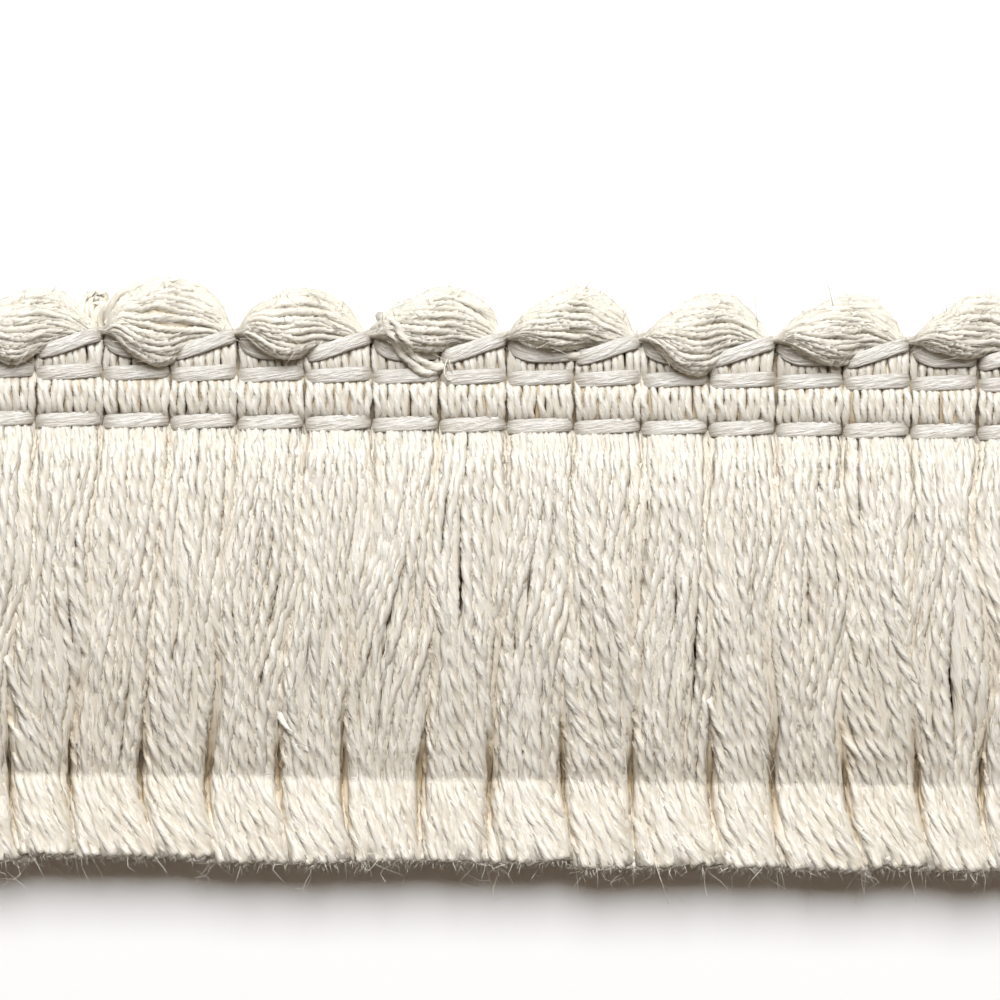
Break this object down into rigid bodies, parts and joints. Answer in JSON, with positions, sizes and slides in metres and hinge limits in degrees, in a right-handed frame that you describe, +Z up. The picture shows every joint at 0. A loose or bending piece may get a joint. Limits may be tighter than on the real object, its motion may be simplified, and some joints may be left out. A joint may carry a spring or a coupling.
{
  "type": "brush fringe trim",
  "caption": "Cut length of brush fringe trim: a narrow woven heading with bound rows, a soft cord in scallops along its top edge and a thick skirt of cut twisted yarn.",
  "frame": {"origin": "on the surface that the trim lies on, under the middle of its bounding box", "axes": "+X along the trim, +Y from the cut ends of the skirt to the scallops, +Z up from the surface through the face"},
  "size_m": [0.0906, 0.038, 0.0049],
  "materials": {
    "yarn": "lustrous twisted viscose yarn, cream",
    "cord": "soft untwisted cotton strand, matte cream",
    "binding": "thin lustrous thread, pale grey"
  },
  "bodies": {
    "root": {"heading": "yarn", "lower_binding": "binding", "middle_binding": "binding", "upper_binding": "binding", "scallop_cord": "cord", "skirt": "yarn"}
  },
  "joints": []
}
